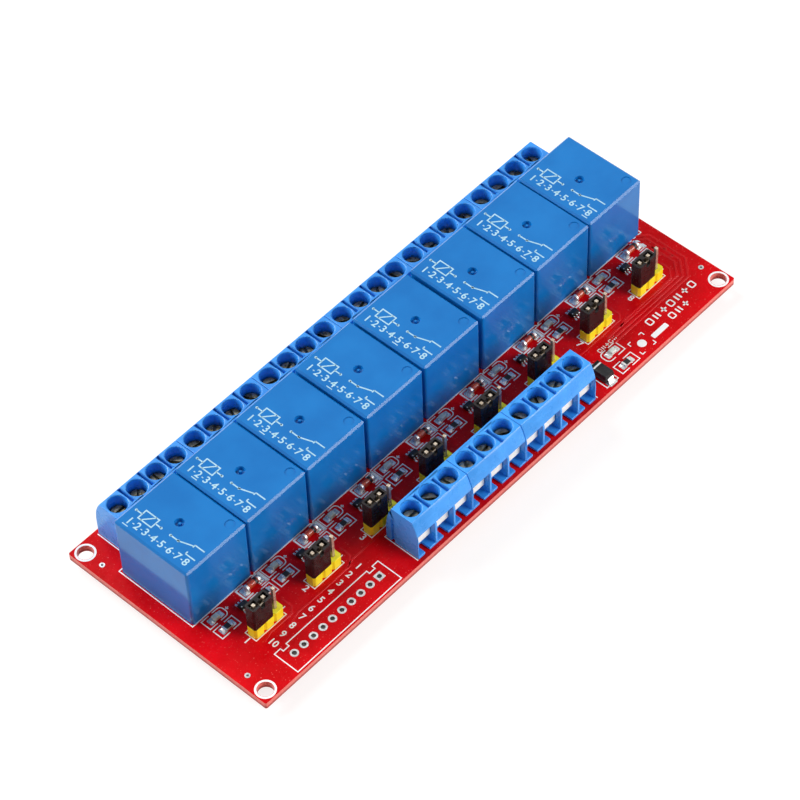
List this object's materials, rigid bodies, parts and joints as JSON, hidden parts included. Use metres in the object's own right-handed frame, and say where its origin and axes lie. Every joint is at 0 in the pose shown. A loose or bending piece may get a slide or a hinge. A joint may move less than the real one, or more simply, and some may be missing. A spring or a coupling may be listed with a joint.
{
  "type": "relay module board",
  "caption": "Red circuit board with a row of sealed blue relays, blue screw terminals along both long edges and a pull-off trigger jumper for each channel.",
  "frame": {"origin": "middle of the four corner holes, on the underside of the circuit board", "axes": "+X along the board's long side, +Y towards the long terminal row, +Z out of the component side"},
  "size_m": [0.1342, 0.0512, 0.019],
  "materials": {
    "red_board": "glossy red solder mask over glass-fibre board, white screen print",
    "relay_blue": "glossy moulded cover",
    "terminal_blue": "satin moulded housing",
    "tinned_metal": "tin-coated legs and solder",
    "plated_steel": "bright nickel plate",
    "screw_metal": "yellowish zinc plate",
    "header_yellow": "moulded yellow strip",
    "pin_brass": "plated brass",
    "cap_black": "moulded black",
    "chip_black": "black epoxy and ceramic with tinned ends",
    "diode_glass": "orange glass tube with tinned ends",
    "led_lens": "milky clear lens"
  },
  "bodies": {
    "board": {"circuit_board": "red_board", "relay_1": "relay_blue", "relay_2": "relay_blue", "relay_3": "relay_blue", "relay_4": "relay_blue", "relay_5": "relay_blue", "relay_6": "relay_blue", "relay_7": "relay_blue", "relay_8": "relay_blue", "relay_pins": "tinned_metal", "rear_terminal_1": "terminal_blue", "rear_terminal_2": "terminal_blue", "rear_terminal_3": "terminal_blue", "rear_terminal_4": "terminal_blue", "rear_terminal_5": "terminal_blue", "rear_terminal_6": "terminal_blue", "rear_solder_legs": "tinned_metal", "rear_screw_frames": "plated_steel", "rear_wire_guards": "plated_steel", "rear_screws": "screw_metal", "front_terminal_1": "terminal_blue", "front_terminal_2": "terminal_blue", "front_terminal_3": "terminal_blue", "front_solder_legs": "tinned_metal", "front_screw_frames": "plated_steel", "front_wire_guards": "plated_steel", "front_screws": "screw_metal", "header_base_1": "header_yellow", "header_base_2": "header_yellow", "header_base_3": "header_yellow", "header_base_4": "header_yellow", "header_base_5": "header_yellow", "header_base_6": "header_yellow", "header_base_7": "header_yellow", "header_base_8": "header_yellow", "header_pins": "pin_brass", "transistors": "chip_black", "flyback_diodes": "diode_glass", "chip_resistors": "chip_black", "status_leds": "led_lens", "input_diode": "chip_black", "power_led": "led_lens"},
    "cap_1": {"jumper_cap_1": "cap_black", "jumper_clip_1": "pin_brass"},
    "cap_2": {"jumper_cap_2": "cap_black", "jumper_clip_2": "pin_brass"},
    "cap_3": {"jumper_cap_3": "cap_black", "jumper_clip_3": "pin_brass"},
    "cap_4": {"jumper_cap_4": "cap_black", "jumper_clip_4": "pin_brass"},
    "cap_5": {"jumper_cap_5": "cap_black", "jumper_clip_5": "pin_brass"},
    "cap_6": {"jumper_cap_6": "cap_black", "jumper_clip_6": "pin_brass"},
    "cap_7": {"jumper_cap_7": "cap_black", "jumper_clip_7": "pin_brass"},
    "cap_8": {"jumper_cap_8": "cap_black", "jumper_clip_8": "pin_brass"}
  },
  "joints": [
    {"name": "cap_1_lift", "type": "slide", "parent": "board", "child": "cap_1", "axis": [0, 0, 1], "range_m": [0, 0.007]},
    {"name": "cap_2_lift", "type": "slide", "parent": "board", "child": "cap_2", "axis": [0, 0, 1], "range_m": [0, 0.007]},
    {"name": "cap_3_lift", "type": "slide", "parent": "board", "child": "cap_3", "axis": [0, 0, 1], "range_m": [0, 0.007]},
    {"name": "cap_4_lift", "type": "slide", "parent": "board", "child": "cap_4", "axis": [0, 0, 1], "range_m": [0, 0.007]},
    {"name": "cap_5_lift", "type": "slide", "parent": "board", "child": "cap_5", "axis": [0, 0, 1], "range_m": [0, 0.007]},
    {"name": "cap_6_lift", "type": "slide", "parent": "board", "child": "cap_6", "axis": [0, 0, 1], "range_m": [0, 0.007]},
    {"name": "cap_7_lift", "type": "slide", "parent": "board", "child": "cap_7", "axis": [0, 0, 1], "range_m": [0, 0.007]},
    {"name": "cap_8_lift", "type": "slide", "parent": "board", "child": "cap_8", "axis": [0, 0, 1], "range_m": [0, 0.007]}
  ]
}
